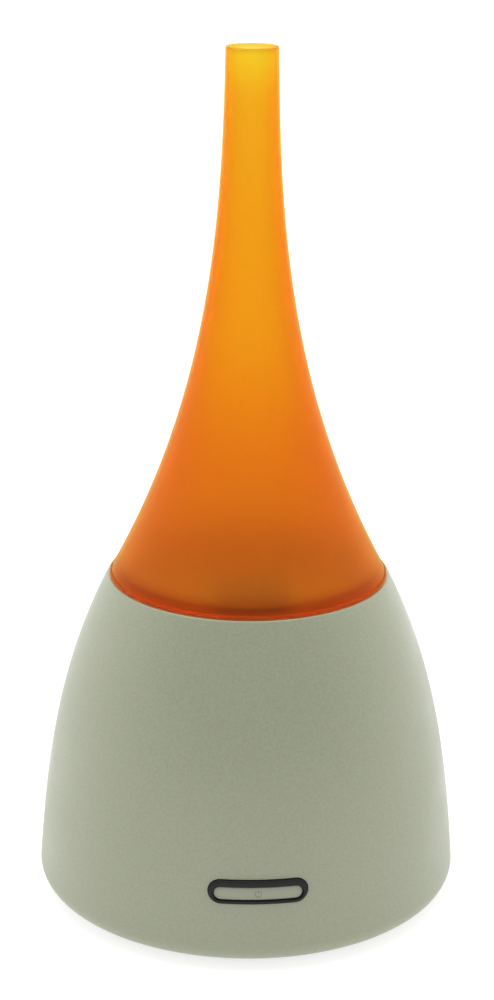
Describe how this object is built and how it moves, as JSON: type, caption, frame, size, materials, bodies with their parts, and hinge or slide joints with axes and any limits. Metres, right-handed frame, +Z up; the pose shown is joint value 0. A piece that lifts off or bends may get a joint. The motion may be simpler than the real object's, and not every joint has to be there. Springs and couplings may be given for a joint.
{
  "type": "cool mist humidifier",
  "caption": "Table humidifier: bell-shaped base with a water bowl, ultrasonic disc and fan inside, and a tall flared horn that lifts off and carries the mist.",
  "frame": {"origin": "centre of the base on the surface that the feet stand on", "axes": "+Z up along the horn's axis; the power button faces -Y and the supply socket faces +Y"},
  "size_m": [0.1202, 0.1202, 0.24],
  "materials": {
    "amber_plastic": "frosted translucent",
    "sage_plastic": "fine satin speckle",
    "black_plastic": "semi-gloss",
    "dark_plastic": "fine texture",
    "grey_plastic": "fine texture",
    "bowl_plastic": "satin",
    "clear_plastic": "clear",
    "silicone": "satin",
    "rubber": "matte",
    "steel": "zinc plated",
    "brass": "sintered",
    "ceramic_disc": "metallised ceramic",
    "ferrite": "pressed powder",
    "copper": "enamelled wire",
    "aluminium": "extruded",
    "circuit_board": "solder mask",
    "connector": "moulded nylon",
    "wire": "insulation"
  },
  "bodies": {
    "base": {"outer_shell": "sage_plastic", "water_bowl": "bowl_plastic", "bowl_gasket": "silicone", "air_hood": "grey_plastic", "air_duct": "dark_plastic", "bottom_cover": "dark_plastic", "foot_1": "rubber", "foot_2": "rubber", "foot_3": "rubber", "foot_4": "rubber", "cover_screw_1": "steel", "cover_screw_2": "steel", "cover_screw_3": "steel", "transducer_disc": "ceramic_disc", "transducer_seal": "silicone", "transducer_clamp": "dark_plastic", "transducer_screw_1": "steel", "transducer_screw_2": "steel", "transducer_screw_3": "steel", "light_window": "clear_plastic", "led_board": "circuit_board", "led_lamp": "clear_plastic", "fan_frame": "dark_plastic", "fan_bearing": "brass", "fan_stator": "copper", "fan_screw_1": "steel", "fan_screw_2": "steel", "fan_screw_3": "steel", "fan_screw_4": "steel", "button_bezel": "black_plastic", "tact_switch": "steel", "button_board": "circuit_board", "main_board": "circuit_board", "board_screw_1": "steel", "board_screw_2": "steel", "board_screw_3": "steel", "heat_sink": "aluminium", "power_transistor": "black_plastic", "inductor": "copper", "capacitor_large": "dark_plastic", "capacitor_small": "dark_plastic", "controller_chip": "black_plastic", "fan_connector": "connector", "button_connector": "connector", "transducer_connector": "connector", "led_connector": "connector", "dc_jack": "black_plastic", "fan_lead": "wire", "button_lead": "wire", "transducer_lead": "wire", "led_lead": "wire"},
    "horn": {"mist_horn": "amber_plastic"},
    "button": {"power_button": "sage_plastic", "switch_plunger": "black_plastic"},
    "rotor": {"fan_impeller": "black_plastic", "fan_magnet": "ferrite", "fan_shaft": "steel"}
  },
  "joints": [
    {"name": "horn_lift", "type": "slide", "parent": "base", "child": "horn", "axis": [0, 0, 1], "range_m": [0, 0.1]},
    {"name": "power_press", "type": "slide", "parent": "base", "child": "button", "axis": [0, 1, 0], "range_m": [0, 0.0008], "stiffness_N_per_m": 2000},
    {"name": "fan_spin", "type": "hinge", "parent": "base", "child": "rotor", "pos_m": [0, -0.021, 0.013], "axis": [0, 0, 1], "continuous": true}
  ]
}
